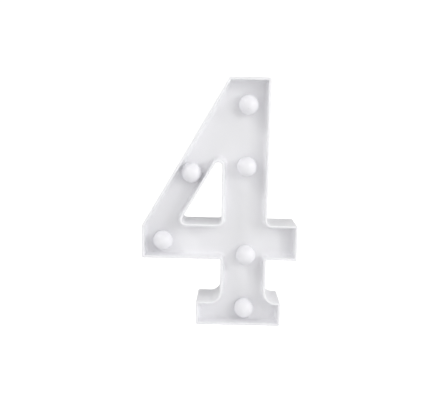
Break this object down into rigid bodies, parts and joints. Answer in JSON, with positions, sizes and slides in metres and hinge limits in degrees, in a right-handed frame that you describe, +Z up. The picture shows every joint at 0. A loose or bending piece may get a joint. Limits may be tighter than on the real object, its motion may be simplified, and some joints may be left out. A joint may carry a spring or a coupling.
{
  "type": "light up marquee number",
  "caption": "Free-standing slab-serif numeral: a shallow white tray with frosted globe lamps on a recessed plate, battery bay and slide switch in its back.",
  "frame": {"origin": "middle of the bounding box in plan, on the surface that the foot stands on", "axes": "+Z up the numeral, -Y out of its lit front, +X to the right seen from the front"},
  "size_m": [0.138, 0.044, 0.22],
  "materials": {
    "shell": "satin gloss moulded white",
    "cover": "fine moulded texture, white",
    "globe": "frosted translucent white, polished outside",
    "holder": "plain moulded white",
    "diode": "clear resin with a warm tint",
    "steel": "bright nickel plate",
    "cell": "plain dark grey sleeve",
    "switch": "black moulded",
    "wire_red": "red insulation",
    "wire_black": "black insulation",
    "wire_clear": "milky two-core insulation"
  },
  "bodies": {
    "root": {"side_wall": "shell", "counter_wall": "shell", "face_plate": "shell", "back_cover": "cover", "bulb_globe_1": "globe", "bulb_globe_2": "globe", "bulb_globe_3": "globe", "bulb_globe_4": "globe", "bulb_globe_5": "globe", "bulb_globe_6": "globe", "led_holder_1": "holder", "led_holder_2": "holder", "led_holder_3": "holder", "led_holder_4": "holder", "led_holder_5": "holder", "led_holder_6": "holder", "led_1": "diode", "led_2": "diode", "led_3": "diode", "led_4": "diode", "led_5": "diode", "led_6": "diode", "cover_screw_1": "steel", "cover_screw_2": "steel", "cover_screw_3": "steel", "cover_screw_4": "steel", "cover_screw_5": "steel", "cover_screw_6": "steel", "cover_screw_7": "steel", "switch_screw_1": "steel", "switch_screw_2": "steel", "battery_1": "cell", "battery_2": "cell", "contact_negative": "steel", "contact_positive": "steel", "contact_bridge": "steel", "spring_1": "steel", "spring_2": "steel", "switch_body": "switch", "wire_bar_upper": "wire_clear", "wire_upper_top": "wire_clear", "wire_bar_foot": "wire_clear", "wire_bar_tip": "wire_clear", "wire_upper_limb": "wire_clear", "wire_positive": "wire_red", "wire_negative": "wire_black", "wire_switched": "wire_black"},
    "battery_door": {"battery_door": "cover"},
    "switch_slider": {"switch_slider": "switch"}
  },
  "joints": [
    {"name": "battery_door_lift", "type": "slide", "parent": "root", "child": "battery_door", "axis": [0, 1, 0], "range_m": [0, 0.03]},
    {"name": "switch_slide", "type": "slide", "parent": "root", "child": "switch_slider", "axis": [1, 0, 0], "range_m": [0, 0.0025]}
  ]
}
